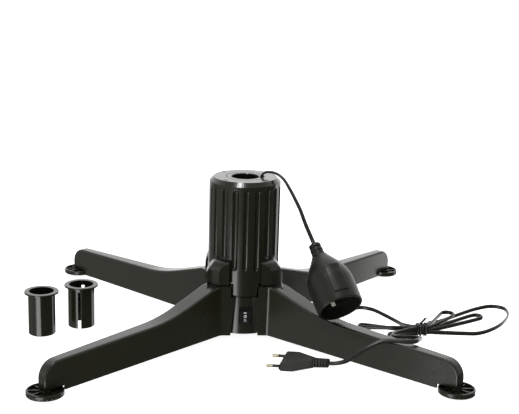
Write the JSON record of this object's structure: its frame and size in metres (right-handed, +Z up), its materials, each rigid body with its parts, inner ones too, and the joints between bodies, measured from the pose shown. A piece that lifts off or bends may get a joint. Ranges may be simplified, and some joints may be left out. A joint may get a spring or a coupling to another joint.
{
  "type": "rotating christmas tree stand",
  "caption": "Four-legged stand with a fluted column, a driven turning socket for a tree's trunk, a turning lead with a coupler, a rocker switch, a tied mains cord and two reducing sleeves.",
  "frame": {"origin": "where the column's axis meets the floor", "axes": "+Z up along the socket's axis; the rocker switch's panel faces -Y; +X to the right seen from the front"},
  "size_m": [0.6528, 0.5072, 0.2097],
  "materials": {
    "housing_plastic": "black ABS, fine satin mould texture",
    "leg_plastic": "black glass-filled polypropylene, satin",
    "socket_plastic": "black ABS, smooth",
    "foot_plastic": "black polypropylene, moulded",
    "sleeve_plastic": "black polypropylene, moulded",
    "switch_plastic": "black polyamide, glossy",
    "coupler_rubber": "black moulded rubber",
    "insert_plastic": "black thermoset",
    "cord_vinyl": "black PVC sheath, satin",
    "plug_vinyl": "black PVC, moulded",
    "pin_nylon": "dark insulating nylon",
    "grommet_rubber": "black rubber",
    "tie_vinyl": "black coated wire",
    "nickelled_brass": "nickel-plated brass",
    "brass": "turned brass",
    "zinc_steel": "zinc-plated steel",
    "bearing_steel": "hardened steel, polished",
    "acetal": "white acetal",
    "grey_nylon": "grey glass-filled nylon",
    "wire_vinyl": "PVC wire insulation"
  },
  "bodies": {
    "stand": {"column_housing": "housing_plastic", "top_cover": "housing_plastic", "cover_screws": "zinc_steel", "top_bearing": "acetal", "motor_deck": "grey_nylon", "deck_screws": "zinc_steel", "gear_motor": "zinc_steel", "motor_screws": "zinc_steel", "brush_block": "grey_nylon", "brushes": "brass", "lower_race": "bearing_steel", "base_hub": "housing_plastic", "base_plate": "housing_plastic", "base_screws": "zinc_steel", "terminal_block": "grey_nylon", "inner_wires": "wire_vinyl", "switch_body": "switch_plastic", "switch_terminals": "brass", "leg_front_left": "leg_plastic", "leg_front_right": "leg_plastic", "leg_back_left": "leg_plastic", "leg_back_right": "leg_plastic", "leg_screws": "zinc_steel", "cord_gland": "plug_vinyl", "mains_lead": "cord_vinyl", "mains_hank": "cord_vinyl", "plug_tail": "cord_vinyl", "cord_tie": "tie_vinyl", "plug_body": "plug_vinyl", "plug_pins": "nickelled_brass", "pin_sleeves": "pin_nylon"},
    "turntable": {"socket_rotor": "socket_plastic", "drive_gear": "acetal", "upper_race": "bearing_steel", "slip_rings": "brass", "lead_grommet": "grommet_rubber", "socket_lead": "cord_vinyl", "coupler_shell": "coupler_rubber", "coupler_insert": "insert_plastic", "coupler_contacts": "nickelled_brass"},
    "ball_cage": {"bearing_cage": "brass", "bearing_balls": "bearing_steel"},
    "motor_output": {"motor_shaft": "zinc_steel", "pinion": "acetal"},
    "rocker": {"switch_rocker": "switch_plastic"},
    "plain_sleeve": {"reducer_plain": "sleeve_plastic"},
    "split_sleeve": {"reducer_split": "sleeve_plastic"},
    "foot_stud_front_left": {"foot_stud_front_left": "zinc_steel"},
    "foot_disc_front_left": {"foot_disc_front_left": "foot_plastic"},
    "foot_stud_front_right": {"foot_stud_front_right": "zinc_steel"},
    "foot_disc_front_right": {"foot_disc_front_right": "foot_plastic"},
    "foot_stud_back_left": {"foot_stud_back_left": "zinc_steel"},
    "foot_disc_back_left": {"foot_disc_back_left": "foot_plastic"},
    "foot_stud_back_right": {"foot_stud_back_right": "zinc_steel"},
    "foot_disc_back_right": {"foot_disc_back_right": "foot_plastic"}
  },
  "joints": [
    {"name": "turntable_spin", "type": "hinge", "parent": "stand", "child": "turntable", "pos_m": [0, 0, 0.2], "axis": [0, 0, 1], "continuous": true},
    {"name": "cage_spin", "type": "hinge", "parent": "stand", "child": "ball_cage", "pos_m": [0, 0, 0.07], "axis": [0, 0, 1], "continuous": true},
    {"name": "pinion_spin", "type": "hinge", "parent": "stand", "child": "motor_output", "pos_m": [0, 0.022, 0.079], "axis": [0, 0, 1], "continuous": true},
    {"name": "rocker_tilt", "type": "hinge", "parent": "stand", "child": "rocker", "pos_m": [0.001, -0.0466, 0.026], "axis": [1, 0, 0], "range_deg": [-12, 12]},
    {"name": "plain_sleeve_lift", "type": "slide", "parent": "stand", "child": "plain_sleeve", "axis": [0, 0, 1], "range_m": [0, 0.15]},
    {"name": "split_sleeve_lift", "type": "slide", "parent": "stand", "child": "split_sleeve", "axis": [0, 0, 1], "range_m": [0, 0.15]},
    {"name": "foot_front_left_screw", "type": "slide", "parent": "stand", "child": "foot_stud_front_left", "axis": [0, 0, -1], "range_m": [0, 0.006]},
    {"name": "foot_front_left_turn", "type": "hinge", "parent": "foot_stud_front_left", "child": "foot_disc_front_left", "pos_m": [-0.23207, -0.23207, 0.003], "axis": [0, 0, -1], "range_deg": [0, 2700]},
    {"name": "foot_front_right_screw", "type": "slide", "parent": "stand", "child": "foot_stud_front_right", "axis": [0, 0, -1], "range_m": [0, 0.006]},
    {"name": "foot_front_right_turn", "type": "hinge", "parent": "foot_stud_front_right", "child": "foot_disc_front_right", "pos_m": [0.23207, -0.23207, 0.003], "axis": [0, 0, -1], "range_deg": [0, 2700]},
    {"name": "foot_back_left_screw", "type": "slide", "parent": "stand", "child": "foot_stud_back_left", "axis": [0, 0, -1], "range_m": [0, 0.006]},
    {"name": "foot_back_left_turn", "type": "hinge", "parent": "foot_stud_back_left", "child": "foot_disc_back_left", "pos_m": [-0.23207, 0.23207, 0.003], "axis": [0, 0, -1], "range_deg": [0, 2700]},
    {"name": "foot_back_right_screw", "type": "slide", "parent": "stand", "child": "foot_stud_back_right", "axis": [0, 0, -1], "range_m": [0, 0.006]},
    {"name": "foot_back_right_turn", "type": "hinge", "parent": "foot_stud_back_right", "child": "foot_disc_back_right", "pos_m": [0.23207, 0.23207, 0.003], "axis": [0, 0, -1], "range_deg": [0, 2700]}
  ],
  "couplings": [
    {"joint": "cage_spin", "follows": "turntable_spin", "ratio": 0.5},
    {"joint": "pinion_spin", "follows": "turntable_spin", "ratio": -2.6667},
    {"joint": "foot_front_left_screw", "follows": "foot_front_left_turn", "m_per_rad": 0.0001273},
    {"joint": "foot_front_right_screw", "follows": "foot_front_right_turn", "m_per_rad": 0.0001273},
    {"joint": "foot_back_left_screw", "follows": "foot_back_left_turn", "m_per_rad": 0.0001273},
    {"joint": "foot_back_right_screw", "follows": "foot_back_right_turn", "m_per_rad": 0.0001273}
  ]
}
